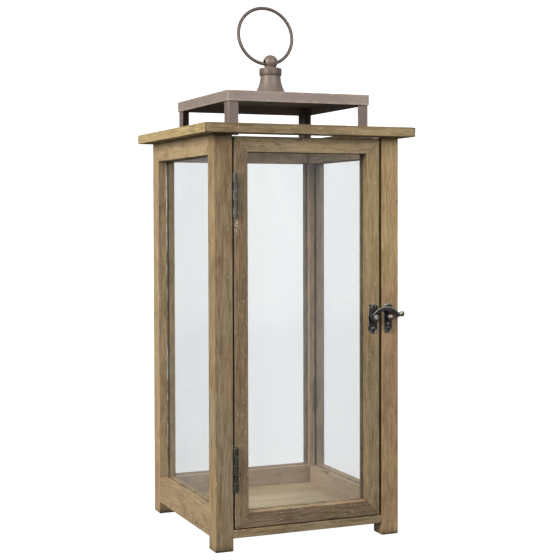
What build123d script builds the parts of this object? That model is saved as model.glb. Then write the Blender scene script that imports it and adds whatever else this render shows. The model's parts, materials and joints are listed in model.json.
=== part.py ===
"""Hanging lantern: wooden frame, glazed door with hinges and latch, vented roof, metal cap and ring.

Millimetres. The origin is at the bottom centre, X to the right, Y to the back, Z up. The door is in front,
at the low Y side, hung on the left post and latched to the right post.
"""
from build123d import *
from math import atan2, cos, degrees, radians, sin, sqrt
import os

# Overall sizes
body_width = 175.0  # over the posts, both ways
post_size = 16.5  # square section of a corner post
post_height = 357.0  # floor to the underside of the roof boards
post_foot_chamfer = 1.2
wood_edge = 0.7  # rounding of the long edges of posts and boards
rail_setback = 0.4  # rails lie this far inside the posts' outer faces

# Rails, panes and floor
top_rail_height = 17.7
bottom_rail_height = 24.0
bottom_rail_rise = 11.2  # clear height under the side and back rails
front_rail_height = 7.2
tenon_length = 5.0
tenon_thickness = 6.0
tenon_shoulder = 4.0  # wood left above and below a tenon
glass_thickness = 2.0
groove_clearance = 0.2  # each side of a pane
groove_depth = 5.0
glass_depth = 9.7  # from the outer face of a post to the middle of its pane
floor_thickness = 6.0
floor_rise = 12.0

# Roof
roof_overhang = 12.0
roof_board_width = 17.25
roof_board_thickness = 8.5

# Door
door_thickness = 15.0
door_gap_hinge = 1.35
door_gap_latch = 2.4
door_gap_bottom = 0.9
door_gap_top = 1.9
stile_width = 12.6
door_rail_width = 13.4
door_glass_depth = 9.6  # from the door's front to the middle of its pane

# Cap
cap_half = 68.4
cap_sheet = 1.2
cap_skirt = 9.1
cap_crown_rise = 3.0
cap_crown_half = 18.0
cap_rim = 1.5  # flat rim outside the slopes
cap_corner = 1.5
cap_gap = 21.3  # roof boards to the cap's lower edge
leg_flange = 9.6
leg_sheet = 1.2
foot_bearing = 10.7  # how far a foot lies over the side rail
foot_screw_inset = 5.0  # from the foot's outer end

# Finial and ring
bell_base_radius = 15.5
bell_lip = 0.7
bell_height = 18.3
bell_top_radius = 9.4
bell_waist_radius = 11.4
bell_wall = 1.8
collar_radius = 10.45
collar_height = 7.0
collar_edge = 0.8
collar_groove_rise = 1.2
collar_groove_width = 0.6
collar_groove_depth = 0.5
neck_radius = 5.4
neck_height = 1.8
ball_radius = 6.8
ball_rise = 5.8  # ball centre above the collar
ring_bore_radius = 3.0
ring_bore_drop = 0.95  # bore axis below the ball's centre
stud_radius = 2.5
stud_depth = 5.6  # into the knob
nut_width = 8.0
nut_height = 4.0
stud_tail = 1.5  # below the nut
washer_radius = 6.0
washer_thickness = 1.0
ring_radius = 26.7
ring_wire_radius = 1.6
ring_lean_back = 8.6  # degrees
ring_side_shift = -3.5
ring_sag = 0.85  # wire centre below the bore axis, under the ball

# Hinges
hinge_height = 38.0
hinge_lower_rise = 70.5  # middle of the lower hinge above the ground
hinge_upper_drop = 52.3  # middle of the upper hinge below the roof boards
hinge_barrel_radius = 1.8
hinge_pin_radius = 0.9
hinge_bore_clearance = 0.05
hinge_knuckles = 5
hinge_knuckle_gap = 0.2
hinge_barrel_gap = 0.3  # barrel's clearance in front of the door's front face
hinge_axis_in = 0.65  # barrel axis inside the door's edge
hinge_leaf_sheet = 0.6
hinge_leaf_depth = 11.0
hinge_leaf_setback = 0.3
hinge_tip_radius = 1.45
hinge_screw_spread = 20.0
hinge_screw_setback = 6.5

# Latch
latch_height = 195.8
latch_plate_length = 27.0
latch_plate_sheet = 1.0
door_plate_width = 10.0
door_plate_inset = 6.5  # plate centre from the door's free edge
keeper_plate_width = 9.2
keeper_plate_inset = 5.7  # plate centre from the post's inner edge
latch_screw_spread = 20.6
pivot_rise = 1.0  # rivet above the plate's middle
boss_radius = 3.4
boss_height = 2.9
arm_thickness = 1.8
arm_clearance = 0.2
rivet_radius = 1.5
rivet_clearance = 0.08
rivet_head_radius = 2.9
rivet_head_height = 1.7
rivet_tail = 7.0
arm_hub_radius = 4.4
arm_arc_radius = 16.5
arm_arc_centre = (10.5, -7.1)
arm_band = 3.7
arm_rim = 0.8
arm_rim_height = 0.4
arm_arc_end = 33.0  # degrees above +X
tooth_reach = 13.8
tooth_half_width = 2.4
tooth_tip_rise = 2.95
arm_ball_radius = 2.6
arm_ball_place = (26.3, 2.5)
arm_neck_width = 2.6
stud_head_radius = 2.85
stud_shank_radius = 1.5
stud_rise = -0.25  # keeper stud above the rivet
stud_reach = 5.6  # shank in front of the post
stud_tail_length = 8.0
round_pin_radius = 1.1
round_pin_drop = 5.9
round_pin_length = 6.0

# Fasteners
screw_head_radius = 2.2
screw_radius = 1.1
screw_length = 9.0
screw_cone = 1.1
drive_slot_width = 0.6
drive_slot_depth = 0.6
brad_radius = 0.7
brad_head_radius = 1.1
brad_head_height = 0.6
roof_brad_length = 20.0
floor_brad_length = 22.0
corner_brad_length = 11.0
foot_screw_head_radius = 2.6
foot_screw_head_height = 1.6
foot_screw_radius = 1.4
foot_screw_length = 11.0
hole_clearance = 0.05

# Worked out from the above
outer = body_width / 2
inner = outer - post_size
rail_face = outer - rail_setback
pane_face = outer - glass_depth + glass_thickness / 2
pane_back = pane_face - glass_thickness
groove_face = pane_face + groove_clearance
groove_back = pane_back - groove_clearance
tenon_face = (outer + inner) / 2 + tenon_thickness / 2
tenon_back = tenon_face - tenon_thickness
bottom_rail_top = bottom_rail_rise + bottom_rail_height
top_rail_base = post_height - top_rail_height
floor_top = floor_rise + floor_thickness
roof_top = post_height + roof_board_thickness
roof_outer = outer + roof_overhang
roof_inner = roof_outer - roof_board_width
front_rail_top = bottom_rail_rise + front_rail_height
door_left = -inner + door_gap_hinge
door_right = inner - door_gap_latch
door_base = front_rail_top + door_gap_bottom
door_top = post_height - door_gap_top
door_front = -outer
cap_base = roof_top + cap_gap
cap_edge_top = cap_base + cap_skirt
crown_top = cap_edge_top + cap_crown_rise
crown_under = crown_top - cap_sheet
leg_outer = cap_half - cap_sheet
foot_end = inner + foot_bearing
collar_base = crown_top + bell_height
collar_top = collar_base + collar_height
ball_centre = collar_top + ball_rise
ring_axis_height = ball_centre - ring_bore_drop
hinge_centre_heights = (hinge_lower_rise, post_height - hinge_upper_drop)
hinge_x = door_left + hinge_axis_in
hinge_y = door_front - hinge_barrel_radius - hinge_barrel_gap
pivot_x = door_right - door_plate_inset
pivot_z = latch_height + pivot_rise
keeper_x = inner + keeper_plate_inset
boss_front = door_front - latch_plate_sheet - boss_height
arm_back = boss_front - arm_clearance
arm_front = arm_back - arm_thickness
sides = (-1, 1)
side_names = {-1: "left", 1: "right"}
depth_names = {-1: "front", 1: "back"}

os.makedirs("parts", exist_ok=True)
nodes = {}


def block(x0, x1, y0, y1, z0, z1):
    """A box between two corners, given in any order."""
    size = (abs(x1 - x0), abs(y1 - y0), abs(z1 - z0))
    return Pos((x0 + x1) / 2, (y0 + y1) / 2, (z0 + z1) / 2) * Box(*size)


def rod(radius, length):
    """A cylinder from the origin up +Z."""
    return Pos(0, 0, length / 2) * Cylinder(radius, length)


def rod_y(radius, x, z, y_front, y_back):
    """A cylinder along Y."""
    return Pos(x, y_back, z) * Rot(90, 0, 0) * rod(radius, y_back - y_front)


def countersunk(clearance=0.0, slot=True):
    """A countersunk screw, head flush at z = 0, point down. With a clearance it is the hole for one."""
    head = screw_head_radius + clearance
    shank = screw_radius + clearance
    length = screw_length + clearance
    lip = 0.5 if clearance else 0.0
    outline = [(0, lip), (head, lip), (head, 0), (shank, -screw_cone), (shank, -length), (0, -length)]
    if not lip:
        outline.pop(1)
    profile = make_face(Polyline([(r, 0, z) for r, z in outline], close=True))
    shape = revolve(profile, Axis.Z, 360)
    if slot and not clearance:
        for turn in (0, 90):
            bar = Box(2 * screw_head_radius * 0.62, drive_slot_width, 2 * drive_slot_depth)
            shape -= Rot(0, 0, turn) * bar
    return shape


def brad(length, clearance=0.0):
    """A brad, head flush at z = 0, point down."""
    lip = 0.5 if clearance else 0.0
    head = Pos(0, 0, -brad_head_height) * rod(brad_head_radius + clearance, brad_head_height + lip)
    return head + Pos(0, 0, -length - clearance) * rod(brad_radius + clearance, length + clearance)


def soften(shape, axis, keep=None):
    """Rounds the long edges along an axis; keep picks some of them."""
    edges = shape.edges().filter_by(axis)
    if keep:
        edges = edges.filter_by(keep)
    return fillet(edges, wood_edge)


# Corner posts: square, grooved for the panes and mortised for the rails
def tenon_span(low, high, groove_low, groove_high):
    """The height of a rail's tenon, clear of its pane groove."""
    low += groove_depth if groove_low else 0
    high -= groove_depth if groove_high else 0
    margin = min(tenon_shoulder, (high - low) / 4)
    return low + margin, high - margin


bottom_tenon = tenon_span(bottom_rail_rise, bottom_rail_top, False, True)
top_tenon = tenon_span(top_rail_base, post_height, True, False)
front_tenon = tenon_span(bottom_rail_rise, front_rail_top, False, False)
pane_base = bottom_rail_top - groove_depth + groove_clearance
pane_top = top_rail_base + groove_depth - groove_clearance
groove_base = bottom_rail_top - groove_depth
groove_top = top_rail_base + groove_depth


def make_post(sx, sy):
    post = block(sx * inner, sx * outer, sy * inner, sy * outer, 0, post_height)
    post = chamfer(post.edges().group_by(Axis.Z)[0], post_foot_chamfer)
    post = soften(post, Axis.Z)
    end = inner + groove_depth
    post -= block(sx * groove_back, sx * groove_face, sy * (inner - 1), sy * end, groove_base, groove_top)
    mortise = inner + tenon_length
    for span in (bottom_tenon, top_tenon):
        post -= block(sx * tenon_back, sx * tenon_face, sy * (inner - 1), sy * mortise, *span)
    if sy > 0:
        post -= block(sx * (inner - 1), sx * end, groove_back, groove_face, groove_base, groove_top)
        for span in (bottom_tenon, top_tenon):
            post -= block(sx * (inner - 1), sx * mortise, tenon_back, tenon_face, *span)
    else:
        post -= block(sx * (inner - 1), sx * mortise, -tenon_back, -tenon_face, *front_tenon)
    return post


for sx in sides:
    for sy in sides:
        nodes[f"post_{depth_names[sy]}_{side_names[sx]}"] = make_post(sx, sy)


# Rails between the posts
def make_rail(low, high, tenon, groove=None):
    """A rail along X on the back side, between the posts."""
    rail = block(-inner, inner, inner, rail_face, low, high)
    rail = soften(rail, Axis.X, keep=lambda edge: edge.center().Y > inner + 1)
    for sx in sides:
        rail += block(sx * inner, sx * (inner + tenon_length), tenon_back, tenon_face, *tenon)
    if groove == "top":
        rail -= block(-inner, inner, groove_back, groove_face, high - groove_depth, high + 1)
    if groove == "bottom":
        rail -= block(-inner, inner, groove_back, groove_face, low - 1, low + groove_depth)
    return rail


back_top_rail = make_rail(top_rail_base, post_height, top_tenon, "bottom")
back_bottom_rail = make_rail(bottom_rail_rise, bottom_rail_top, bottom_tenon, "top")
front_rail = make_rail(bottom_rail_rise, front_rail_top, front_tenon)
nodes["top_rail_back"] = back_top_rail
nodes["bottom_rail_back"] = back_bottom_rail
for sx in sides:
    nodes[f"top_rail_{side_names[sx]}"] = Rot(0, 0, -90 * sx) * back_top_rail
    nodes[f"bottom_rail_{side_names[sx]}"] = Rot(0, 0, -90 * sx) * back_bottom_rail
nodes["bottom_rail_front"] = Rot(0, 0, 180) * front_rail

# Fixed panes
pane_end = inner + groove_depth - groove_clearance
back_pane = block(-pane_end, pane_end, pane_back, pane_face, pane_base, pane_top)
nodes["glass_back"] = back_pane
side_pane = block(-pane_end, pane_end, pane_back, pane_face, pane_base, pane_top)
for sx in sides:
    nodes[f"glass_{side_names[sx]}"] = Rot(0, 0, -90 * sx) * side_pane

# Floor panel
nodes["floor_panel"] = block(-inner, inner, -inner, inner, floor_rise, floor_top)

# Roof boards, mitred at the corners
board_outline = [
    (-roof_outer, roof_outer),
    (roof_outer, roof_outer),
    (roof_inner, roof_inner),
    (-roof_inner, roof_inner),
]
board_face = make_face(Polyline([(x, y, post_height) for x, y in board_outline], close=True))
roof_board = extrude(board_face, roof_board_thickness, dir=(0, 0, 1))
roof_board = soften(roof_board, Axis.X)
for name, turn in (("back", 0), ("left", 90), ("front", 180), ("right", -90)):
    nodes[f"roof_board_{name}"] = Rot(0, 0, turn) * roof_board

# Cap: a pressed tray with rounded corners and a shallow hipped top
def hipped(half, crown_half, base, edge, crown, corner):
    """A block with upright sides, and four shallow slopes inside its rim up to a flat square."""
    outline = RectangleRounded(2 * half, 2 * half, corner) if corner else Rectangle(2 * half, 2 * half)
    body = extrude(Pos(0, 0, base) * outline, edge - base)
    low = Pos(0, 0, edge) * Rectangle(2 * (half - cap_rim), 2 * (half - cap_rim))
    high = Pos(0, 0, crown) * Rectangle(2 * crown_half, 2 * crown_half)
    return body + loft([low.face(), high.face()])


cap = hipped(cap_half, cap_crown_half, cap_base, cap_edge_top, crown_top, cap_corner)
cap -= hipped(leg_outer, cap_crown_half, cap_base - 1, cap_edge_top - cap_sheet, crown_under, 0)
cap -= Pos(0, 0, cap_base) * rod(stud_radius + hole_clearance, 2 * cap_skirt)
nodes["cap_tray"] = cap


# Legs: sheet angle with a turned-out foot on the side rail
def make_leg(sx, sy):
    top = cap_edge_top - cap_sheet
    end = leg_outer - leg_flange
    leg = block(sx * leg_outer, sx * (leg_outer - leg_sheet), sy * end, sy * leg_outer, post_height, top)
    leg += block(sx * end, sx * leg_outer, sy * leg_outer, sy * (leg_outer - leg_sheet), post_height, top)
    foot_top = post_height + leg_sheet
    foot = block(sx * leg_outer, sx * foot_end, sy * end, sy * leg_outer, post_height, foot_top)
    return leg + foot


foot_screw_x = foot_end - foot_screw_inset
foot_screw_y = leg_outer - leg_flange / 2
foot_top = post_height + leg_sheet


def foot_screw(clearance=0.0):
    """A pan-headed screw, standing on z = 0."""
    shank = Pos(0, 0, -foot_screw_length) * rod(foot_screw_radius + clearance, foot_screw_length)
    if clearance:
        return shank + rod(foot_screw_radius + clearance, 1)
    head = rod(foot_screw_head_radius, foot_screw_head_height)
    head = fillet(head.edges().group_by(Axis.Z)[-1], foot_screw_head_height * 0.6)
    head -= Pos(0, 0, foot_screw_head_height) * Box(5.2, drive_slot_width, 2 * drive_slot_depth)
    return head + shank


foot_places = [Pos(sx * foot_screw_x, sy * foot_screw_y, foot_top) for sx in sides for sy in sides]
foot_holes = Compound([place * foot_screw(hole_clearance) for place in foot_places])
for sx in sides:
    for sy in sides:
        name = f"cap_leg_{depth_names[sy]}_{side_names[sx]}"
        nodes[name] = make_leg(sx, sy) - foot_holes
    nodes[f"top_rail_{side_names[sx]}"] -= foot_holes
nodes["cap_leg_screws"] = Compound([place * foot_screw() for place in foot_places])

# Finial: hollow bell, knob with collar and cross-bored ball, stud, washer and nut
bell_base = (bell_base_radius, 0, crown_top)
bell_shoulder = (bell_base_radius, 0, crown_top + bell_lip)
bell_waist = (bell_waist_radius, 0, crown_top + bell_height * 0.45)
bell_throat = (bell_top_radius, 0, collar_base)
flare = ThreePointArc(bell_shoulder, bell_waist, bell_throat)
close = Polyline([bell_throat, (0, 0, collar_base), (0, 0, crown_top), bell_base, bell_shoulder])
bell = revolve(make_face([flare, close]), Axis.Z, 360)
hollow_top = collar_base - bell_wall
hollow = [
    (0, crown_top - 1),
    (bell_base_radius - bell_wall, crown_top - 1),
    (bell_base_radius - bell_wall, crown_top),
    (bell_waist_radius - bell_wall, crown_top + bell_height * 0.45),
    (bell_top_radius - bell_wall, hollow_top),
    (0, hollow_top),
]
bell -= revolve(make_face(Polyline([(r, 0, z) for r, z in hollow], close=True)), Axis.Z, 360)
bell -= Pos(0, 0, crown_top) * rod(stud_radius + hole_clearance, 2 * bell_height)
nodes["finial_bell"] = bell

collar = Pos(0, 0, collar_base) * rod(collar_radius, collar_height)
collar = fillet(collar.edges().filter_by(GeomType.CIRCLE), collar_edge)
groove_z = collar_base + collar_groove_rise
groove = Pos(0, 0, groove_z) * rod(collar_radius + 1, collar_groove_width)
groove -= Pos(0, 0, groove_z - 1) * rod(collar_radius - collar_groove_depth, collar_groove_width + 2)
knob = collar - groove
knob += Pos(0, 0, collar_top) * rod(neck_radius, neck_height)
knob += Pos(0, 0, ball_centre) * Sphere(ball_radius)
bore_length = 4 * ball_radius
knob -= Pos(-bore_length / 2, 0, ring_axis_height) * Rot(0, 90, 0) * rod(ring_bore_radius, bore_length)
knob -= Pos(0, 0, collar_base - 1) * rod(stud_radius + hole_clearance, stud_depth + 1 + hole_clearance)
nodes["finial_knob"] = knob

nut_top = crown_under - washer_thickness
nut_base = nut_top - nut_height
stud_base = nut_base - stud_tail
stud_top = collar_base + stud_depth
nodes["finial_stud"] = Pos(0, 0, stud_base) * rod(stud_radius, stud_top - stud_base)
washer = Pos(0, 0, nut_top) * rod(washer_radius, washer_thickness)
nodes["finial_washer"] = washer - Pos(0, 0, nut_top - 1) * rod(stud_radius + hole_clearance, 4)
nut = extrude(Pos(0, 0, nut_base) * RegularPolygon(nut_width / 2, 6, major_radius=False), nut_height)
nodes["finial_nut"] = nut - Pos(0, 0, nut_base - 1) * rod(stud_radius + hole_clearance, nut_height + 2)

# Ring: round wire, leaning back, hung in the ball's bore
ring_rise = sqrt(ring_radius**2 - ring_side_shift**2) - ring_sag
ring = Pos(ring_side_shift, 0, ring_rise) * Rot(90, 0, 0) * Torus(ring_radius, ring_wire_radius)
nodes["ring_handle"] = Pos(0, 0, ring_axis_height) * Rot(-ring_lean_back, 0, 0) * ring


# Door: mitred stiles and rails round a grooved-in pane
def door_member(outline, axis):
    face = make_face(Polyline([(x, door_front, z) for x, z in outline], close=True))
    return extrude(face, door_thickness, dir=(0, 1, 0))


sight_left = door_left + stile_width
sight_right = door_right - stile_width
sight_base = door_base + door_rail_width
sight_top = door_top - door_rail_width
door_corners = [
    (door_left, door_base),
    (door_right, door_base),
    (door_right, door_top),
    (door_left, door_top),
]
sight_corners = [
    (sight_left, sight_base),
    (sight_right, sight_base),
    (sight_right, sight_top),
    (sight_left, sight_top),
]
door_pane_front = door_front + door_glass_depth - glass_thickness / 2
door_pane_back = door_pane_front + glass_thickness
pane_reach = groove_depth - groove_clearance
door_pane = block(
    sight_left - pane_reach, sight_right + pane_reach,
    door_pane_front, door_pane_back,
    sight_base - pane_reach, sight_top + pane_reach,
)
door_groove = block(
    sight_left - groove_depth, sight_right + groove_depth,
    door_pane_front - groove_clearance, door_pane_back + groove_clearance,
    sight_base - groove_depth, sight_top + groove_depth,
)
member_names = ("door_rail_bottom", "door_stile_right", "door_rail_top", "door_stile_left")
for i, name in enumerate(member_names):
    j = (i + 1) % 4
    outline = [door_corners[i], door_corners[j], sight_corners[j], sight_corners[i]]
    along = Axis.X if "rail" in name else Axis.Z
    nodes[name] = soften(door_member(outline, along), along) - door_groove
nodes["door_glass"] = door_pane

# Hinges
leaf_front = -outer + hinge_leaf_setback
leaf_back = leaf_front + hinge_leaf_depth
frame_leaf_x = (-inner, -inner + hinge_leaf_sheet)
door_leaf_x = (door_left - hinge_leaf_sheet, door_left)
knuckle_pitch = hinge_height / hinge_knuckles
screw_y = leaf_front + hinge_screw_setback


def knuckle_span(centre, index):
    """The height of one knuckle; the outermost ends reach the ends of the leaf."""
    low = centre - hinge_height / 2 + index * knuckle_pitch
    trim_low = hinge_knuckle_gap / 2 if index > 0 else 0
    trim_high = hinge_knuckle_gap / 2 if index < hinge_knuckles - 1 else 0
    return low + trim_low, low + knuckle_pitch - trim_high


def make_leaf(centre, leaf_x, first_knuckle):
    low = centre - hinge_height / 2
    leaf = block(*leaf_x, leaf_front, leaf_back, low, low + hinge_height)
    for index in range(first_knuckle, hinge_knuckles, 2):
        span = knuckle_span(centre, index)
        leaf += block(*leaf_x, hinge_y, leaf_front, *span)
        leaf += Pos(hinge_x, hinge_y, span[0]) * rod(hinge_barrel_radius, span[1] - span[0])
    bore = Pos(hinge_x, hinge_y, low - 1) * rod(hinge_pin_radius + hinge_bore_clearance, hinge_height + 2)
    return leaf - bore


def make_pin(centre):
    low = centre - hinge_height / 2
    pin = Pos(hinge_x, hinge_y, low) * rod(hinge_pin_radius, hinge_height)
    for end, turn in ((low, 180), (low + hinge_height, 0)):
        cheese = rod(hinge_tip_radius, 0.9) + Pos(0, 0, 0.9) * Sphere(hinge_tip_radius * 0.75)
        pin += Pos(hinge_x, hinge_y, end) * Rot(turn, 0, 0) * cheese
    return pin


frame_screw_places = []
door_screw_places = []
for centre in hinge_centre_heights:
    for end in sides:
        height = centre + end * hinge_screw_spread / 2
        frame_screw_places.append(Pos(frame_leaf_x[1], screw_y, height) * Rot(0, 90, 0))
        door_screw_places.append(Pos(door_leaf_x[0], screw_y, height) * Rot(0, -90, 0))
frame_screw_holes = Compound([place * countersunk(hole_clearance) for place in frame_screw_places])
door_screw_holes = Compound([place * countersunk(hole_clearance) for place in door_screw_places])
for name, centre in zip(("lower", "upper"), hinge_centre_heights):
    nodes[f"hinge_{name}_frame_leaf"] = make_leaf(centre, frame_leaf_x, 0) - frame_screw_holes
    nodes[f"hinge_{name}_door_leaf"] = make_leaf(centre, door_leaf_x, 1) - door_screw_holes
    nodes[f"hinge_{name}_pin"] = make_pin(centre)
nodes["hinge_frame_screws"] = Compound([place * countersunk() for place in frame_screw_places])
nodes["hinge_door_screws"] = Compound([place * countersunk() for place in door_screw_places])
nodes["post_front_left"] -= frame_screw_holes
nodes["door_stile_left"] -= door_screw_holes


# Latch
def oblong(x, width):
    """A round-ended plate on the front faces."""
    slot = SlotOverall(latch_plate_length, width, rotation=90)
    on_door = Plane((x, door_front, latch_height), x_dir=(1, 0, 0), z_dir=(0, -1, 0))
    plate = extrude(on_door * slot, latch_plate_sheet)
    rim = plate.faces().sort_by(Axis.Y)[0].edges()
    return chamfer(rim, latch_plate_sheet * 0.35)


def front_screws(x, clearance=0.0):
    """Two countersunk screws in a plate, heads to the front."""
    face = door_front - latch_plate_sheet
    heights = [latch_height + end * latch_screw_spread / 2 for end in sides]
    return Compound([Pos(x, face, z) * Rot(90, 0, 0) * countersunk(clearance) for z in heights])


rivet_hole_end = door_front + rivet_tail + 0.1
rivet_hole = rod_y(rivet_radius + rivet_clearance, pivot_x, pivot_z, arm_front - 2, rivet_hole_end)
door_plate = oblong(pivot_x, door_plate_width)
door_plate += rod_y(boss_radius, pivot_x, pivot_z, boss_front, door_front - latch_plate_sheet)
nodes["latch_door_plate"] = door_plate - front_screws(pivot_x, hole_clearance) - rivet_hole
nodes["latch_door_screws"] = front_screws(pivot_x)
nodes["door_stile_right"] = nodes["door_stile_right"] - front_screws(pivot_x, hole_clearance) - rivet_hole

rivet_seat = arm_front - arm_clearance
rivet = rod(rivet_head_radius, rivet_head_height)
rivet = fillet(rivet.edges().group_by(Axis.Z)[-1], rivet_head_height * 0.9)
rivet_length = door_front + rivet_tail - rivet_seat
rivet += Pos(0, 0, -rivet_length) * rod(rivet_radius, rivet_length)
nodes["latch_rivet"] = Pos(pivot_x, rivet_seat, pivot_z) * Rot(90, 0, 0) * rivet


def on_arc(radius, angle):
    """A point on the arm's arcs, in the arm's own plane, angle in degrees from +X."""
    across, up = arm_arc_centre
    return (across + radius * cos(radians(angle)), up + radius * sin(radians(angle)))


def make_arm():
    """The arm lies in XY with its rivet at the origin and its back at z = 0."""
    start = degrees(atan2(-arm_arc_centre[1], -arm_arc_centre[0]))
    inner_radius = arm_arc_radius - arm_band
    middle = (start + arm_arc_end) / 2
    top = ThreePointArc(*[on_arc(arm_arc_radius, a) for a in (start, middle, arm_arc_end)])
    under = ThreePointArc(*[on_arc(inner_radius, a) for a in (arm_arc_end, middle, start)])
    ends = [Line(top @ 1, under @ 0), Line(under @ 1, top @ 0)]
    band = extrude(make_face([top, under, *ends]), arm_thickness)
    hub = rod(arm_hub_radius, arm_thickness)
    root = arm_arc_centre[1] + inner_radius
    tooth_outline = [
        (tooth_reach - tooth_half_width, root + 0.6),
        (tooth_reach + tooth_half_width, root + 0.3),
        (tooth_reach + 0.5, tooth_tip_rise),
        (tooth_reach - 0.5, tooth_tip_rise),
    ]
    tooth = extrude(make_face(Polyline([(x, y, 0) for x, y in tooth_outline], close=True)), arm_thickness)
    tip = on_arc(arm_arc_radius - arm_band * 0.5, arm_arc_end)
    ball = arm_ball_place
    neck_turn = degrees(atan2(ball[1] - tip[1], ball[0] - tip[0]))
    neck_length = sqrt((ball[0] - tip[0]) ** 2 + (ball[1] - tip[1]) ** 2)
    neck_place = Pos((tip[0] + ball[0]) / 2, (tip[1] + ball[1]) / 2, arm_thickness / 2)
    neck = neck_place * Rot(0, 0, neck_turn) * Box(neck_length + 1, arm_neck_width, arm_thickness)
    knob = Pos(ball[0], ball[1], arm_thickness / 2) * Sphere(arm_ball_radius)
    rim_top = ThreePointArc(*[on_arc(arm_arc_radius, a) for a in (start, middle, arm_arc_end)])
    rim_under = ThreePointArc(*[on_arc(arm_arc_radius - arm_rim, a) for a in (arm_arc_end, middle, start)])
    rim_ends = [Line(rim_top @ 1, rim_under @ 0), Line(rim_under @ 1, rim_top @ 0)]
    rim = extrude(make_face([rim_top, rim_under, *rim_ends]), arm_thickness + arm_rim_height)
    arm = band + hub + tooth + neck + knob + rim
    return arm - Pos(0, 0, -1) * rod(rivet_radius + rivet_clearance, arm_thickness + 3)


arm_plane = Location(Plane((pivot_x, arm_back, pivot_z), x_dir=(1, 0, 0), z_dir=(0, -1, 0)))
nodes["latch_arm"] = arm_plane * make_arm()

keeper_holes = front_screws(keeper_x, hole_clearance)
stud_z = pivot_z + stud_rise
pin_z = stud_z - round_pin_drop
stud_bore, stud_end = stud_shank_radius + hole_clearance, door_front + stud_tail_length
stud_hole = rod_y(stud_bore, keeper_x, stud_z, door_front - 3, stud_end)
pin_bore, pin_end = round_pin_radius * 0.7 + hole_clearance, door_front + round_pin_length
pin_hole = rod_y(pin_bore, keeper_x, pin_z, door_front - 3, pin_end)
keeper = oblong(keeper_x, keeper_plate_width)
nodes["latch_keeper_plate"] = keeper - keeper_holes - stud_hole - pin_hole
head = Sphere(stud_head_radius) & Pos(0, 0, 2.5) * Box(10, 10, 5)
head = Pos(0, 0, stud_reach) * (head + Pos(0, 0, -0.6) * rod(stud_head_radius * 0.86, 0.6))
keeper_stud = head + Pos(0, 0, -stud_tail_length) * rod(stud_shank_radius, stud_tail_length + stud_reach)
nodes["latch_keeper_stud"] = Pos(keeper_x, door_front, stud_z) * Rot(90, 0, 0) * keeper_stud
round_pin = Pos(0, 0, latch_plate_sheet) * (Sphere(round_pin_radius) & Pos(0, 0, 1) * Box(4, 4, 2))
pin_tail = rod(round_pin_radius * 0.7, round_pin_length + latch_plate_sheet)
round_pin += Pos(0, 0, -round_pin_length + 0.1) * pin_tail
round_pin = Pos(keeper_x, door_front, pin_z) * Rot(90, 0, 0) * round_pin
nodes["latch_keeper_screws"] = Compound([*front_screws(keeper_x).solids(), round_pin])
nodes["post_front_right"] = nodes["post_front_right"] - keeper_holes - stud_hole - pin_hole

# Brads: roof boards down into posts and rails, floor from the side rails, door corners
roof_brad_line = (roof_inner + outer) / 2
roof_brad_places = []
for turn in (0, 90, -90):
    for x in (-outer + post_size / 2, -inner / 2, inner / 2, outer - post_size / 2):
        roof_brad_places.append(Rot(0, 0, turn) * Pos(x, roof_brad_line, roof_top))
for x in sides:
    roof_brad_places.append(Pos(x * (outer - post_size / 2), -roof_brad_line, roof_top))
floor_brad_places = []
for sx in sides:
    for y in (-inner / 2, inner / 2):
        place = Pos(sx * rail_face, y, floor_rise + floor_thickness / 2)
        floor_brad_places.append(place * Rot(0, 90 * sx, 0))
corner_brad_places = []
for x in (door_left + stile_width / 2, door_right - stile_width / 2):
    corner_brad_places.append(Pos(x, door_front + door_thickness * 0.3, door_top))
    corner_brad_places.append(Pos(x, door_front + door_thickness * 0.3, door_base) * Rot(180, 0, 0))


def brads(places, length, clearance=0.0):
    return Compound([place * brad(length, clearance) for place in places])


nodes["roof_brads"] = brads(roof_brad_places, roof_brad_length)
nodes["floor_brads"] = brads(floor_brad_places, floor_brad_length)
nodes["door_corner_brads"] = brads(corner_brad_places, corner_brad_length)
roof_holes = brads(roof_brad_places, roof_brad_length, hole_clearance)
for name in [n for n in nodes if n.startswith(("roof_board", "top_rail", "post_"))]:
    nodes[name] -= roof_holes
floor_holes = brads(floor_brad_places, floor_brad_length, hole_clearance)
for name in ("bottom_rail_left", "bottom_rail_right", "floor_panel"):
    nodes[name] -= floor_holes
corner_holes = brads(corner_brad_places, corner_brad_length, hole_clearance)
for name in member_names:
    nodes[name] -= corner_holes

for name, shape in nodes.items():
    solids = shape.solids()
    export_step(solids[0] if len(solids) == 1 else Compound(list(solids)), f"parts/{name}.step")
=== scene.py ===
"""Looks of the hanging lantern: weathered timber, glass, painted sheet metal and antique pewter fittings."""

import json
from math import cos, pi, radians, sin

import bmesh
import bpy
from mathutils import Matrix, Vector, kdtree, noise

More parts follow.
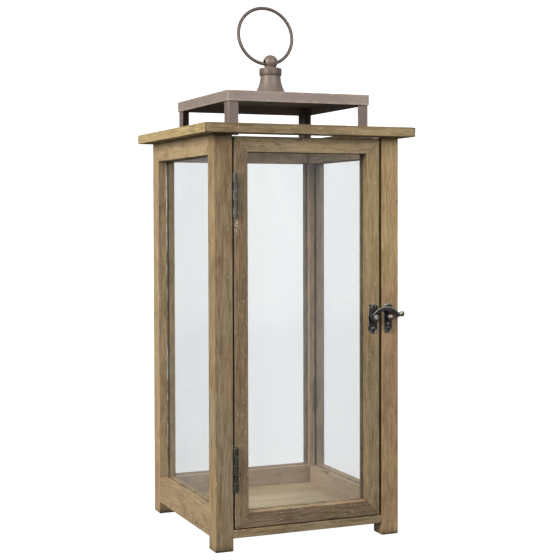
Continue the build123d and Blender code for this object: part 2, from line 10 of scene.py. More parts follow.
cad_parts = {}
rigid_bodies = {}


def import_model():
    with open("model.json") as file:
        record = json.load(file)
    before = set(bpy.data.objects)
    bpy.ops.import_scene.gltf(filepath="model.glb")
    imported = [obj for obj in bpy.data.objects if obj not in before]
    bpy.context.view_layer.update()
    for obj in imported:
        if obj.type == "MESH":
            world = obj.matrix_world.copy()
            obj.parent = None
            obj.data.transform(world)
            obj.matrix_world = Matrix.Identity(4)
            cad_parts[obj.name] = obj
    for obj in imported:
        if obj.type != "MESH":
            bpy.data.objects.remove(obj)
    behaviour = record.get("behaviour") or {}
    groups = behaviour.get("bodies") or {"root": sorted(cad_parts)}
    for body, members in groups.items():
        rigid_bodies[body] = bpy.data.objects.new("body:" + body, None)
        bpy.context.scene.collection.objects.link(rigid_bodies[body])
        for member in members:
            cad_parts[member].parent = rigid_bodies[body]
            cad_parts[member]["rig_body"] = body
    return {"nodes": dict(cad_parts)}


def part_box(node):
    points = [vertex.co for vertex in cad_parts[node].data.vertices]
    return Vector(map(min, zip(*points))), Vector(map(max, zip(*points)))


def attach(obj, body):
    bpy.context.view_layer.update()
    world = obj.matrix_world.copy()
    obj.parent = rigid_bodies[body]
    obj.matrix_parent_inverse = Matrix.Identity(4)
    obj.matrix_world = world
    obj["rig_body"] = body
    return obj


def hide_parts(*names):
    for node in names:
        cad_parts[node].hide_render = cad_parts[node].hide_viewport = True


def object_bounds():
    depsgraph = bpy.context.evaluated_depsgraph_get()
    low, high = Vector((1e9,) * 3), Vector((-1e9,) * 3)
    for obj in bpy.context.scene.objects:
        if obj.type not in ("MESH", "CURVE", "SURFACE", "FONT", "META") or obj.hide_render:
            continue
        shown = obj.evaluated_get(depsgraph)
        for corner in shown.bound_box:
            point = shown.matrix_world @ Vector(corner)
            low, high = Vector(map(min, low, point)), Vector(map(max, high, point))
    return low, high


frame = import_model()
cad_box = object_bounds()
nodes = frame["nodes"]
mm = 0.001
weld_distance = 0.002 * mm


# ---------------------------------------------------------------- node trees

def put(tree, kind, inputs=None, **settings):
    """Adds a node. Inputs are plain values or the sockets that feed them."""
    node = tree.nodes.new(kind)
    for name, value in settings.items():
        setattr(node, name, value)
    for key, value in (inputs or {}).items():
        if isinstance(value, bpy.types.NodeSocket):
            tree.links.new(value, node.inputs[key])
        else:
            node.inputs[key].default_value = value
    return node


def colour(*screen):
    """A screen colour, red, green and blue from 0 to 255, as the linear colour that the shaders take."""
    return tuple(((v / 255 + 0.055) / 1.055) ** 2.4 if v > 10 else v / 255 / 12.92 for v in screen) + (1,)


def finish(name):
    """A new material with an empty tree, its Principled shader and its output."""
    material = bpy.data.materials.new(name)
    material.use_nodes = True
    tree = material.node_tree
    tree.nodes.clear()
    shader = put(tree, "ShaderNodeBsdfPrincipled")
    output = put(tree, "ShaderNodeOutputMaterial", {"Surface": shader.outputs[0]})
    return material, tree, shader, output


def place_on(tree):
    """Where a point lies on its piece."""
    return put(tree, "ShaderNodeTexCoord").outputs["Object"]


def marked(tree, name):
    """How much wear or grime was marked on the mesh."""
    return put(tree, "ShaderNodeAttribute", attribute_name=name).outputs["Fac"]


def spread(tree, coordinates, scale, offset=(0, 0, 0)):
    """Coordinates made denser by scale and then shifted, so that two patterns never lie alike."""
    stretched = {"Vector": coordinates, "Location": offset, "Scale": scale}
    return put(tree, "ShaderNodeMapping", stretched).outputs[0]


def cloud(tree, coordinates, detail=3.0, roughness=0.5, distortion=0.0):
    """Soft noise, read from coordinates that already carry its scale."""
    return put(tree, "ShaderNodeTexNoise", {
        "Vector": coordinates, "Scale": 1.0,
        "Detail": detail, "Roughness": roughness, "Distortion": distortion,
    }).outputs[0]


def band(tree, value, low, high, out_low=0.0, out_high=1.0):
    """Value stretched from low..high to out_low..out_high, with soft ends."""
    return put(tree, "ShaderNodeMapRange", {
        "Value": value, "From Min": low, "From Max": high, "To Min": out_low, "To Max": out_high,
    }, interpolation_type="SMOOTHSTEP").outputs[0]


def reckon(tree, operation, a, b):
    """One step of arithmetic on two values."""
    return put(tree, "ShaderNodeMath", {0: a, 1: b}, operation=operation).outputs[0]


def plus(tree, a, b):
    return reckon(tree, "ADD", a, b)


def minus(tree, a, b):
    return reckon(tree, "SUBTRACT", a, b)


def times(tree, a, b):
    return reckon(tree, "MULTIPLY", a, b)


def tint(tree, share, under, over, blend="MIX"):
    """under with over laid on it by share."""
    mix = put(tree, "ShaderNodeMix", {0: share, 6: under, 7: over}, data_type="RGBA", blend_type=blend)
    return mix.outputs[2]


def stain_with(tree, share, under, over):
    """under darkened by a stain, by share: the grain below it still shows."""
    return tint(tree, share, under, over, "MULTIPLY")


def dress(tree, shader, base, roughness, height, depth, strength):
    """Feeds a shader its colour, its roughness and a relief that follows a height."""
    bump = put(tree, "ShaderNodeBump", {"Height": height, "Distance": depth, "Strength": strength})
    for socket, value in (("Base Color", base), ("Roughness", roughness), ("Normal", bump.outputs[0])):
        tree.links.new(value, shader.inputs[socket])


# ---------------------------------------------------------------- timber finish

# colours that all the timber shares
patch_shade = colour(190, 172, 150)
latewood_brown = colour(118, 96, 66)
fibre_shadow = colour(122, 100, 76)
bare_corner = colour(172, 154, 114)
greasy_corner = colour(84, 68, 46)
end_grain = colour(84, 70, 50)
shade_grey = colour(150, 142, 142)
torn_shadow = colour(80, 66, 50)
torn_fibre = colour(180, 168, 150)
# dark brown for dirt at the posts' feet and for painted shade along the roof's top edge
soil_and_shade = colour(58, 46, 30)
chip_pale = colour(190, 173, 142)
fleck_brown = colour(62, 47, 31)
crack_black = colour(50, 38, 25)
knot_brown = colour(66, 44, 28)
# painted light: tints that make faces lighter as if lit, those turned to the left and those turned up
left_light_tint = (1.34, 1.36, 1.3)
top_light_tint = (1.3, 1.25, 1.18)


def timber_finish(name, grain, stain, seed, dryness, left_light_share, shade=None, bruise=None, top_light_boost=1.0):
    """Weathered softwood: growth bands, fibres, seasoning cracks and small knots that run along the grain."""
    material, tree, shader, _ = finish(name)
    light, dark, grey = stain
    where = put(tree, "ShaderNodeTexCoord")
    here, facing = where.outputs["Object"], where.outputs["Normal"]
    offset = tuple(cos(seed * k) * 7 for k in (1.7, 2.9, 4.3))

    def along(across_scale, along_scale):
        scale = tuple(along_scale if axis == grain else across_scale for axis in "xyz")
        return spread(tree, here, scale, offset)

    growth = cloud(tree, along(62, 4.2), detail=3.0, roughness=0.5, distortion=1.1)
    rings = put(tree, "ShaderNodeMath", {0: times(tree, growth, 80.0)}, operation="SINE").outputs[0]
    latewood = band(tree, rings, 0.1, 0.95)
    fibre = cloud(tree, along(820, 48), detail=6.0, roughness=0.74)
    streak = cloud(tree, along(240, 13), detail=4.0, roughness=0.6, distortion=0.4)
    weather = cloud(tree, along(30, 13), detail=4.0, roughness=0.62, distortion=0.5)
    patch = cloud(tree, along(85, 38), detail=5.0, roughness=0.65, distortion=0.6)
    crack_noise = cloud(tree, along(500, 11), detail=3.0, roughness=0.55, distortion=0.3)
    cracks = band(tree, crack_noise, 0.33, 0.275)
    fleck = band(tree, cloud(tree, along(760, 170), detail=2.0), 0.34, 0.26)
    chip = band(tree, cloud(tree, along(700, 240), detail=2.0, roughness=0.5), 0.66, 0.73)
    knot_field = put(tree, "ShaderNodeTexVoronoi", {"Vector": along(34, 15), "Scale": 1.0, "Randomness": 1.0})
    lot = put(tree, "ShaderNodeSeparateColor", {0: knot_field.outputs["Color"]}).outputs[0]
    few = band(tree, lot, 0.74, 0.8)
    knots = times(tree, band(tree, knot_field.outputs["Distance"], 0.15, 0.05), few)

    # the grain's own colours
    bold = min(1.0, dryness)
    base = tint(tree, band(tree, streak, 0.5 - 0.35 / bold, 0.5 + 0.35 / bold), dark, light)
    base = tint(tree, band(tree, weather, 0.42, 0.62, 0, 0.8), base, grey)
    base = stain_with(tree, band(tree, patch, 0.3, 0.52, 0.5, 0), base, patch_shade)
    base = tint(tree, band(tree, patch, 0.5, 0.72, 0, 0.3), base, light)
    base = stain_with(tree, times(tree, latewood, 0.17 * bold), base, latewood_brown)
    base = stain_with(tree, band(tree, fibre, 0.36, 0.6, 0.46 * bold, 0), base, fibre_shadow)

    # corners rubbed bare in some places and greasy in others
    worn = marked(tree, "worn")
    rubbed_bare = times(tree, worn, band(tree, patch, 0.42, 0.62))
    base = tint(tree, times(tree, rubbed_bare, 0.35), base, bare_corner)
    rubbed_dark = times(tree, worn, band(tree, patch, 0.46, 0.34))
    base = tint(tree, times(tree, rubbed_dark, 0.45), base, greasy_corner)

    # painted light on the left faces and on the faces turned up, and dark end grain
    sides = put(tree, "ShaderNodeSeparateXYZ", {0: facing})
    # painted light: faces turned to the left are painted lighter, as if lit from that side
    left = band(tree, sides.outputs["X"], -0.55, -0.85, 0, left_light_share)
    base = tint(tree, left, base, left_light_tint + (1,), "MULTIPLY")
    # painted light: faces turned up are painted lighter, as if lit from above
    lit_from_above = band(tree, sides.outputs["Z"], 0.6, 0.9)
    base = tint(tree, lit_from_above, base, tuple(v * top_light_boost for v in top_light_tint) + (1,), "MULTIPLY")
    endwise = sides.outputs[grain.upper()]
    ends = band(tree, times(tree, endwise, endwise), 0.5, 0.8)
    base = tint(tree, times(tree, ends, 0.6), base, end_grain)
    if shade:
        axis, start, stop, strength = shade
        place = put(tree, "ShaderNodeSeparateXYZ", {0: here}).outputs[axis.upper()]
        drift = plus(tree, place, band(tree, weather, 0.3, 0.7, -0.02, 0.02))
        base = stain_with(tree, band(tree, drift, start, stop, strength, 0), base, shade_grey)
    if bruise:
        centre, reach = bruise
        away = put(tree, "ShaderNodeVectorMath", {0: here, 1: centre}, operation="SUBTRACT").outputs[0]
        away = put(tree, "ShaderNodeVectorMath", {0: away, 1: (1, 1, 0.5)}, operation="MULTIPLY").outputs[0]
        away = put(tree, "ShaderNodeVectorMath", {0: away}, operation="LENGTH").outputs["Value"]
        near = band(tree, away, reach * 0.4, reach, 1, 0)
        torn = cloud(tree, along(1400, 800), detail=3.0)
        base = tint(tree, times(tree, near, band(tree, torn, 0.5, 0.4, 0, 0.8)), base, torn_shadow)
        base = tint(tree, times(tree, near, band(tree, torn, 0.52, 0.6, 0, 0.8)), base, torn_fibre)

    # dirt, damage and painted shade, over everything else
    # dirt at the posts' feet and painted shade along the roof's top edge, as marked on the mesh
    base = tint(tree, times(tree, marked(tree, "grime_and_shade"), 0.75), base, soil_and_shade)
    base = tint(tree, times(tree, chip, 0.38), base, chip_pale)
    base = tint(tree, times(tree, fleck, 0.5 * dryness), base, fleck_brown)
    base = tint(tree, times(tree, cracks, min(1.0, 0.72 * dryness)), base, crack_black)
    base = tint(tree, times(tree, knots, 0.8), base, knot_brown)

    shader.inputs["Specular IOR Level"].default_value = 0.3
    height = plus(tree, times(tree, fibre, 0.5), times(tree, streak, 0.5))
    height = minus(tree, height, times(tree, cracks, 0.9 * dryness))
    height = plus(tree, height, times(tree, latewood, 0.12))
    dress(tree, shader, base, band(tree, fibre, 0.3, 0.7, 0.92, 0.68), height, 0.45 * mm, 0.8)
    return material


# ---------------------------------------------------------------- other finishes

def panel_finish():
    """Sanded board under the candle: pale, fine and matt, with faint long fibres and dust."""
    material, tree, shader, _ = finish("sanded_floor_board")
    here = place_on(tree)
    fibre = cloud(tree, spread(tree, here, (12, 700, 700)), detail=4.0, roughness=0.65)
    figure = cloud(tree, spread(tree, here, (5, 60, 60), (3, 1, 2)), detail=2.0, distortion=0.8)
    dust = cloud(tree, spread(tree, here, (60, 60, 60)), detail=5.0, roughness=0.6)
    base = tint(tree, band(tree, figure, 0.35, 0.65), colour(168, 147, 114), colour(184, 164, 130))
    base = tint(tree, band(tree, fibre, 0.35, 0.6, 0.35, 0), base, colour(140, 118, 88))
    base = tint(tree, band(tree, dust, 0.5, 0.75, 0, 0.3), base, colour(196, 182, 156))
    dress(tree, shader, base, band(tree, dust, 0.3, 0.7, 0.72, 0.9), fibre, 0.15 * mm, 0.6)
    return material


def glass_finish():
    """Thin float glass: light passes straight through, and a little is mirrored and taken up."""
    material, tree, shader, output = finish("clear_pane")
    tree.nodes.remove(shader)
    smear = cloud(tree, spread(tree, place_on(tree), (9, 9, 4)), detail=3.0, roughness=0.55, distortion=0.5)
    clear_tint = tint(tree, band(tree, smear, 0.35, 0.7), (0.913, 0.918, 0.918, 1), (0.899, 0.907, 0.91, 1))
    clear = put(tree, "ShaderNodeBsdfTransparent", {"Color": clear_tint})
    mirror = put(tree, "ShaderNodeBsdfAnisotropic", {"Color": (0.95, 0.98, 1.0, 1), "Roughness": 0.04})
    gloss = put(tree, "ShaderNodeFresnel", {"IOR": 1.55}).outputs[0]
    outside = minus(tree, 1.0, put(tree, "ShaderNodeNewGeometry").outputs["Backfacing"])
    share = times(tree, gloss, outside)
    dust = put(tree, "ShaderNodeBsdfDiffuse", {"Color": (0.72, 0.74, 0.76, 1)})
    film = times(tree, band(tree, smear, 0.3, 0.75, 0.015, 0.045), outside)
    dusty = put(tree, "ShaderNodeMixShader", {0: film, 1: clear.outputs[0], 2: dust.outputs[0]})
    mix = put(tree, "ShaderNodeMixShader", {0: share, 1: dusty.outputs[0], 2: mirror.outputs[0]})
    tree.links.new(mix.outputs[0], output.inputs["Surface"])
    return material


def paint_finish(name, top, worn_colour, grain_depth=0.05, roughness=(0.5, 0.66)):
    """Satin metal paint with a fine sprayed texture, faint mottling and thin spots along the edges."""
    material, tree, shader, _ = finish(name)
    here = place_on(tree)
    mottle = cloud(tree, spread(tree, here, (38, 38, 38)), detail=4.0, roughness=0.6)
    spray = cloud(tree, spread(tree, here, (1500, 1500, 1500)), detail=2.0, roughness=0.6)
    rub = cloud(tree, spread(tree, here, (120, 120, 30), (5, 2, 8)), detail=4.0, roughness=0.65)
    base = tint(tree, band(tree, mottle, 0.35, 0.65, 0, 0.55), top, tuple(v * 0.82 for v in top[:3]) + (1,))
    base = tint(tree, band(tree, spray, 0.35, 0.6, 0.14, 0), base, colour(86, 74, 64))
    thin = times(tree, marked(tree, "worn"), band(tree, rub, 0.42, 0.6))
    base = tint(tree, times(tree, thin, 0.6), base, worn_colour)
    # painted shade: the darkening marked on the mesh, at the finial knob's foot
    base = tint(tree, times(tree, marked(tree, "grime_and_shade"), 0.7), base, colour(64, 48, 38))
    shader.inputs["Specular IOR Level"].default_value = 0.4
    gloss = band(tree, mottle, 0.3, 0.7, *roughness)
    dress(tree, shader, base, gloss, plus(tree, spray, mottle), grain_depth * mm, 0.7)
    return material


def antique_finish(name, recess, high, tarnish, roughness=(0.3, 0.55), metallic=0.9):
    """Darkened casting whose raised edges have been rubbed bright; on some castings the same mark also
    carries a painted highlight.
    """
    material, tree, shader, _ = finish(name)
    here = place_on(tree)
    pits = cloud(tree, spread(tree, here, (900, 900, 900)), detail=3.0, roughness=0.6)
    stain = cloud(tree, spread(tree, here, (190, 190, 190), (2, 6, 4)), detail=4.0, roughness=0.6)
    uneven = band(tree, stain, 0.2, 0.8, -0.25, 0.25)
    # rubbed wear, together with the painted highlights marked on some castings
    rubbed = band(tree, plus(tree, marked(tree, "worn"), uneven), 0.3, 0.72)
    base = tint(tree, band(tree, stain, 0.4, 0.65), recess, tarnish)
    base = tint(tree, rubbed, base, high)
    base = tint(tree, band(tree, pits, 0.42, 0.3, 0, 0.35), base, recess)
    shader.inputs["Metallic"].default_value = metallic
    gloss = minus(tree, band(tree, pits, 0.3, 0.7, *roughness), times(tree, rubbed, 0.1))
    dress(tree, shader, base, gloss, plus(tree, pits, stain), 0.1 * mm, 0.6)
    return material


def sealant_finish():
    """Milky glazing sealant that has skinned over."""
    material, tree, shader, _ = finish("milky_sealant")
    milk = cloud(tree, spread(tree, place_on(tree), (420, 420, 60)), detail=3.0)
    base = tint(tree, band(tree, milk, 0.42, 0.66), colour(104, 92, 74), colour(172, 168, 158))
    dress(tree, shader, base, band(tree, milk, 0.3, 0.7, 0.2, 0.4), milk, 0.2 * mm, 0.6)
    return material


# ---------------------------------------------------------------- shaping helpers

def welded(node):
    """A node's mesh with its loose triangles welded and its flat faces joined."""
    shape = bmesh.new()
    shape.from_mesh(nodes[node].data)
    for layer in ("worn", "grime_and_shade"):
        shape.verts.layers.float.new(layer)
    bmesh.ops.remove_doubles(shape, verts=shape.verts, dist=weld_distance)
    bmesh.ops.dissolve_limit(shape, angle_limit=radians(0.5), verts=shape.verts, edges=shape.edges)
    return shape


def sliced(shape, axis, pitch, jitter=0.0):
    """Cuts a shape across one axis at about every pitch, so that it can be worked."""
    places = [v.co[axis] for v in shape.verts]
    low, high = min(places), max(places)
    count = max(1, round((high - low) / pitch))
    direction = Vector([1.0 if k == axis else 0.0 for k in range(3)])
    for step in range(1, count):
        shift = jitter * noise.noise(Vector((step * 1.37, low * 100, axis * 5.1)))
        at = low + (high - low) * (step + shift) / count
        everything = shape.verts[:] + shape.edges[:] + shape.faces[:]
        bmesh.ops.bisect_plane(shape, geom=everything, plane_co=direction * at, plane_no=direction,
                               dist=weld_distance)


def outer_edges(shape, least_angle):
    """The vertices that lie on an outside edge, and those on an inside one."""
    outside, inside = set(), set()
    for edge in shape.edges:
        if len(edge.link_faces) == 2:
            angle = edge.calc_face_angle_signed(0.0)
            if angle > radians(least_angle):
                outside.update(edge.verts)
            elif angle < -radians(least_angle):
                inside.update(edge.verts)
    return outside, inside


def mark_worn(shape, verts, reach):
    """Marks wear by how near each vertex is to the given ones, 1 on them and 0 past reach."""
    layer = shape.verts.layers.float["worn"]
    places = [v.co.copy() for v in verts]
    if not places:
        return
    tree = kdtree.KDTree(len(places))
    for index, place in enumerate(places):
        tree.insert(place, index)
    tree.balance()
    for vert in shape.verts:
        distance = tree.find(vert.co)[2]
        vert[layer] = max(0.0, 1 - distance / reach)


def keep_inside(place, low, high):
    """A point moved back into its box, where it had left it."""
    return Vector([min(max(place[k], low[k]), high[k]) for k in range(3)])


def piece(name, shape, node, material, sharp):
    """Turns a finished shape into the piece that stands for a node."""
    bmesh.ops.triangulate(shape, faces=[f for f in shape.faces if len(f.verts) > 4])
    mesh = bpy.data.meshes.new(name)
    shape.to_mesh(mesh)
    shape.free()
    mesh_piece(name, mesh, body_of_node(node), material, sharp, (node,))


def rounded_off(mesh, sharp):
    """Shades a mesh smooth, but for the edges that turn by more than sharp degrees."""
    for face in mesh.polygons:
        face.use_smooth = True
    mesh.set_sharp_from_angle(angle=radians(sharp))


def mesh_piece(name, mesh, body, material, sharp, replaces=()):
    """Makes a mesh a piece of the lantern that rides on its body."""
    mesh.materials.clear()
    mesh.materials.append(material)
    rounded_off(mesh, sharp)
    made = bpy.data.objects.new(name, mesh)
    bpy.context.scene.collection.objects.link(made)
    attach(made, body)
    if replaces:
        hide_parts(*replaces)


def body_of_node(node):
    return nodes[node]["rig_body"]


def coat_node(node, material):
    """Gives a node a finish and leaves its shape alone."""
    nodes[node].data.materials.clear()
    nodes[node].data.materials.append(material)


# ---------------------------------------------------------------- timber

def tones(light, dark, grey):
    """A stain: its light and dark grain, and the grey that it weathers to."""
    return colour(*light), colour(*dark), colour(*grey)


drab = tones((134, 115, 86), (110, 92, 66), (121, 107, 84))
olive = tones((152, 133, 98), (124, 106, 74), (132, 118, 90))
brown = tones((128, 108, 82), (98, 80, 59), (116, 102, 81))
deep_brown = tones((118, 99, 76), (88, 72, 53), (106, 94, 75))
pink = tones((164, 138, 104), (138, 112, 80), (150, 134, 94))
sunny = tones((160, 138, 108), (134, 113, 85), (146, 128, 98))
shaded_sunny = tones((147, 126, 99), (123, 103, 78), (134, 117, 90))
# painted light: a paler olive for the door's top rail, lifting it where the roof's shadow falls on it
olive_painted_lighter = tones((160, 141, 109), (134, 116, 87), (142, 129, 103))
straw = tones((160, 142, 104), (130, 112, 78), (146, 129, 94))
bright_straw = tones((152, 133, 100), (124, 105, 75), (138, 123, 90))
inner = tones((164, 143, 121), (142, 121, 99), (150, 134, 114))
deep_inner = tones((172, 150, 129), (150, 128, 108), (160, 143, 124))

# each member's grain direction and stain, and how dry and strongly grained it is
timbers = {
    "post_front_left": ("z", drab, 1.0),
    "post_front_right": ("z", pink, 0.9),
    "post_back_left": ("z", sunny, 0.9),
    "post_back_right": ("z", inner, 0.8),
    "top_rail_left": ("y", sunny, 0.6),
    "top_rail_right": ("y", inner, 0.8),
    "top_rail_back": ("x", inner, 0.6),
    "bottom_rail_left": ("y", shaded_sunny, 0.6),
    "bottom_rail_right": ("y", inner, 0.35),
    "bottom_rail_back": ("x", deep_inner, 0.35),
    "bottom_rail_front": ("x", drab, 0.9),
    "roof_board_front": ("x", bright_straw, 0.9),
    "roof_board_back": ("x", straw, 1.0),
    "roof_board_left": ("y", straw, 0.8),
    "roof_board_right": ("y", straw, 1.0),
    "door_stile_left": ("z", brown, 1.3),
    "door_stile_right": ("z", olive, 0.9),
    "door_rail_top": ("x", olive_painted_lighter, 0.9),
    "door_rail_bottom": ("x", deep_brown, 1.4),
}
# how strongly a member's left side is painted lighter, as painted light from the left
usual_left_light_share = 0.35
left_light_shares = {"post_front_left": 1.0, "roof_board_left": 0.9, "door_stile_left": 0.0, "door_stile_right": 0.0}
# how many times stronger than usual the painted light on a member's top face is
top_light_boosts = {"door_rail_bottom": 1.9}
# a darker stretch of a member: axis, where the shade is full, where it has gone, strength
shaded = {
    "roof_board_front": ("x", -0.01, 0.075, 0.42),
    "post_front_right": ("z", 0.17, 0.27, 0.3),
    "door_stile_right": ("z", 0.17, 0.27, 0.3),
}
# torn fibres just under the upper hinge, where it was once prised: centre and reach
hinge_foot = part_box("hinge_upper_pin")[0]
under_hinge = (hinge_foot.x + 1.6 * mm, hinge_foot.y + 2 * mm, hinge_foot.z - 5.5 * mm)
bruised = {"door_stile_left": (under_hinge, 5 * mm), "post_front_left": (under_hinge, 3 * mm)}
# how finely a member is cut up to be worked, and how far a rubbed corner reaches
cut_along, cut_across, corner_reach = 3.2 * mm, 2.0 * mm, 1.9 * mm
# in millimetres: height of a foot's worn end and of the dirt on it, depth of the painted shade
# below the roof's top edge, and how far the roof's outer corners are rounded
foot_wear, foot_soil, eaves_shade, roof_rounding = 2.5, 5.0, 1.6, 3.2


def worn_timber(node, grain, stain, dryness, seed):
    """One member: its corners are knocked and rubbed back unevenly, and its faces are lightly furrowed."""
    shape = welded(node)
    low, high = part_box(node)
    along = "xyz".index(grain)
    sliced(shape, along, cut_along, 0.5)
    for axis in range(3):
        if axis != along:
            sliced(shape, axis, cut_across, 0.2)
    shape.normal_update()
    outside, inside = outer_edges(shape, 14)
    # the door's mitres stay sharp, because its members meet there
    mitres = [face for face in shape.faces if min(abs(face.normal.x), abs(face.normal.z)) > 0.6]
    outside -= {vert for face in mitres for vert in face.verts}
    mark_worn(shape, outside, corner_reach)
    grime_and_shade_layer = shape.verts.layers.float["grime_and_shade"]
    shape.verts.index_update()
    outside_indexes = {v.index for v in outside if v not in inside}
    is_post = node.startswith("post_")
    is_roof = node.startswith("roof_")
    roof_reach = cad_box[1][0] / mm
    for vert in shape.verts:
        place = vert.co / mm
        drawn_out = Vector([place[k] * (0.045 if k == along else 0.55) for k in range(3)])
        furrow = 0.5 + 0.5 * noise.noise(drawn_out + Vector((seed * 3.1, seed, 0)))
        depth = 0.1 * furrow
        if vert.index in outside_indexes:
            slow = 0.5 + 0.5 * noise.noise(place * 0.06 + Vector((seed, 9, 1)))
            quick = max(0.0, noise.noise(place * 0.35 + Vector((3, seed, 7))) - 0.15)
            depth += (0.42 if is_roof else 0.26) * slow + 0.9 * quick * quick
            if is_post and place.z < foot_wear:
                depth += 0.35 + 0.4 * slow
        if is_roof:
            from_corner = Vector((roof_reach - abs(place.x), roof_reach - abs(place.y))).length
            depth += 0.9 * max(0.0, 1 - from_corner / roof_rounding) ** 1.5
            # painted shade: a dark band along the top edge of each roof board
            vert[grime_and_shade_layer] = 0.55 * max(0.0, 1 - (high.z / mm - place.z) / eaves_shade)
        elif is_post:
            vert[grime_and_shade_layer] = max(0.0, 1 - place.z / foot_soil) ** 2
        vert.co = keep_inside(vert.co - vert.normal * depth * mm, low, high)
    left_light_amount = left_light_shares.get(node, usual_left_light_share)
    material = timber_finish(f"timber_{node}", grain, stain, seed, dryness, left_light_amount, shaded.get(node),
                             bruised.get(node), top_light_boosts.get(node, 1.0))
    piece(f"worn_{node}", shape, node, material, 28)


for number, (node, (grain, stain, dryness)) in enumerate(timbers.items()):
    worn_timber(node, grain, stain, dryness, number + 1)


# ---------------------------------------------------------------- floor board and panes

coat_node("floor_panel", panel_finish())
clear_pane = glass_finish()
for node in ("glass_left", "glass_right", "glass_back", "door_glass"):
    coat_node(node, clear_pane)


# ---------------------------------------------------------------- metal pieces shaped from the frame

taupe = paint_finish("taupe_paint", colour(124, 111, 103), colour(158, 144, 131))
# painted shade: the cap's taupe paint made darker for the finial, so that the bell and knob look less lit
finial_taupe_shaded = paint_finish("taupe_finial_paint_shaded", colour(100, 87, 79), colour(134, 120, 109), 0.03,
                            (0.34, 0.46))
# a darker, browner copy of the taupe paint for the legs: partly their own colour and partly painted shade
# under the cap
leg_taupe_shaded = paint_finish("taupe_leg_paint_shaded", colour(97, 83, 78), colour(130, 116, 108))
# the same steel twice: the upper hinge's copy is painted lighter, as a painted reflection, and the lower one
# keeps the steel's dark colour
upper_steel = antique_finish("steel_painted_lighter", colour(66, 65, 64), colour(100, 98, 96), colour(80, 79, 77),
                             (0.4, 0.6), 0.8)
lower_steel = antique_finish("blackened_steel", colour(46, 47, 44), colour(92, 94, 90), colour(60, 61, 57),
                             (0.4, 0.6), 0.8)
pewter = antique_finish("antique_pewter", colour(40, 39, 39), colour(140, 134, 126), colour(58, 56, 53),
                        (0.42, 0.58), 0.8)
bright_pewter = antique_finish("rubbed_pewter", colour(80, 74, 69), colour(142, 134, 126),
                               colour(104, 96, 88), (0.42, 0.56), 0.7)
zinc = antique_finish("dull_zinc", colour(112, 112, 110), colour(190, 190, 186), colour(140, 138, 132),
                      (0.3, 0.5))


def softened(node, material, easing=0.0, reach=1.2, pitch=None, painted_shade=None, reshape=None):
    """A metal part with its corners eased, and its outside edges marked for wear. Sizes in millimetres."""
    shape = welded(node)
    if easing:
        corners = [edge for edge in shape.edges
                   if len(edge.link_faces) == 2 and edge.calc_face_angle(0.0) > radians(30)]
        bmesh.ops.bevel(shape, geom=corners, offset=easing * mm, segments=2, profile=0.5, affect="EDGES",
                        clamp_overlap=True)
        bmesh.ops.remove_doubles(shape, verts=shape.verts, dist=weld_distance)
    if pitch:
        for axis in range(3):
            sliced(shape, axis, pitch * mm)
    shape.normal_update()
    outside, _ = outer_edges(shape, 10)
    mark_worn(shape, outside, reach * mm)
    # painted shade: the given function darkens points as if shade fell there
    if painted_shade:
        layer = shape.verts.layers.float["grime_and_shade"]
        for vert in shape.verts:
            vert[layer] = painted_shade(vert.co)
    if reshape:
        for vert in shape.verts:
            vert.co = reshape(vert.co)
    piece(f"{node}_made", shape, node, material, 34)


softened("cap_tray", taupe, reach=1.6, pitch=2.4)
for side in ("front_left", "front_right", "back_left", "back_right"):
    softened(f"cap_leg_{side}", leg_taupe_shaded, easing=0.2, pitch=1.2)
knob_foot, knob_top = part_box("finial_knob")
softened("finial_bell", finial_taupe_shaded)
# painted shade: the knob darkens towards its foot, where it meets the bell
softened("finial_knob", finial_taupe_shaded, pitch=1.0,
         painted_shade=lambda place: max(0.0, 1 - (place.z - knob_foot.z) / (knob_top.z - knob_foot.z) * 1.6))


def flat_headed(leaf):
    """Keeps a hinge pin's heads low over the ends of its barrel."""
    head_share = 0.3
    foot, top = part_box(leaf)

    def lowered(place):
        inside = min(max(place.z, foot.z), top.z)
        return Vector((place.x, place.y, inside + (place.z - inside) * head_share))
    return lowered


for level, steel in (("upper", upper_steel), ("lower", lower_steel)):
    for part in ("frame_leaf", "door_leaf", "pin"):
        softened(f"hinge_{level}_{part}", steel, reach=0.45, pitch=0.8,
                 reshape=flat_headed(f"hinge_{level}_frame_leaf") if part == "pin" else None)
for node in ("roof_brads", "floor_brads", "door_corner_brads", "finial_stud", "finial_washer", "finial_nut"):
    coat_node(node, zinc)


# ---------------------------------------------------------------- latch

plate_sheet = 1.0 * mm
rim_width = 0.8 * mm
recess_depth = 0.38 * mm


def slot_loop(shape, half_width, half_height, centre, y):
    """A ring of vertices round a round-ended slot, standing at y."""
    steps = 14
    straight = half_height - half_width
    loop = []
    for end in (1, -1):
        for step in range(steps + 1):
            angle = pi * step / steps + (0 if end > 0 else pi)
            x = centre.x + half_width * cos(angle)
            z = centre.z + end * straight + half_width * sin(angle)
            loop.append(shape.verts.new((x, y, z)))
    return loop


def round_loop(shape, count, place, rub, start=0.0):
    """A ring of vertices with their wear. place gives the point for an angle."""
    worn = shape.verts.layers.float["worn"]
    loop = []
    for step in range(count):
        vert = shape.verts.new(place(2 * pi * (step + start) / count))
        vert[worn] = rub
        loop.append(vert)
    return loop


def skin(shape, loops):
    """Joins each loop of vertices to the next with a band of faces."""
    for lower, upper in zip(loops, loops[1:]):
        for here in range(len(lower)):
            ahead = (here + 1) % len(lower)
            shape.faces.new((lower[here], lower[ahead], upper[ahead], upper[here]))


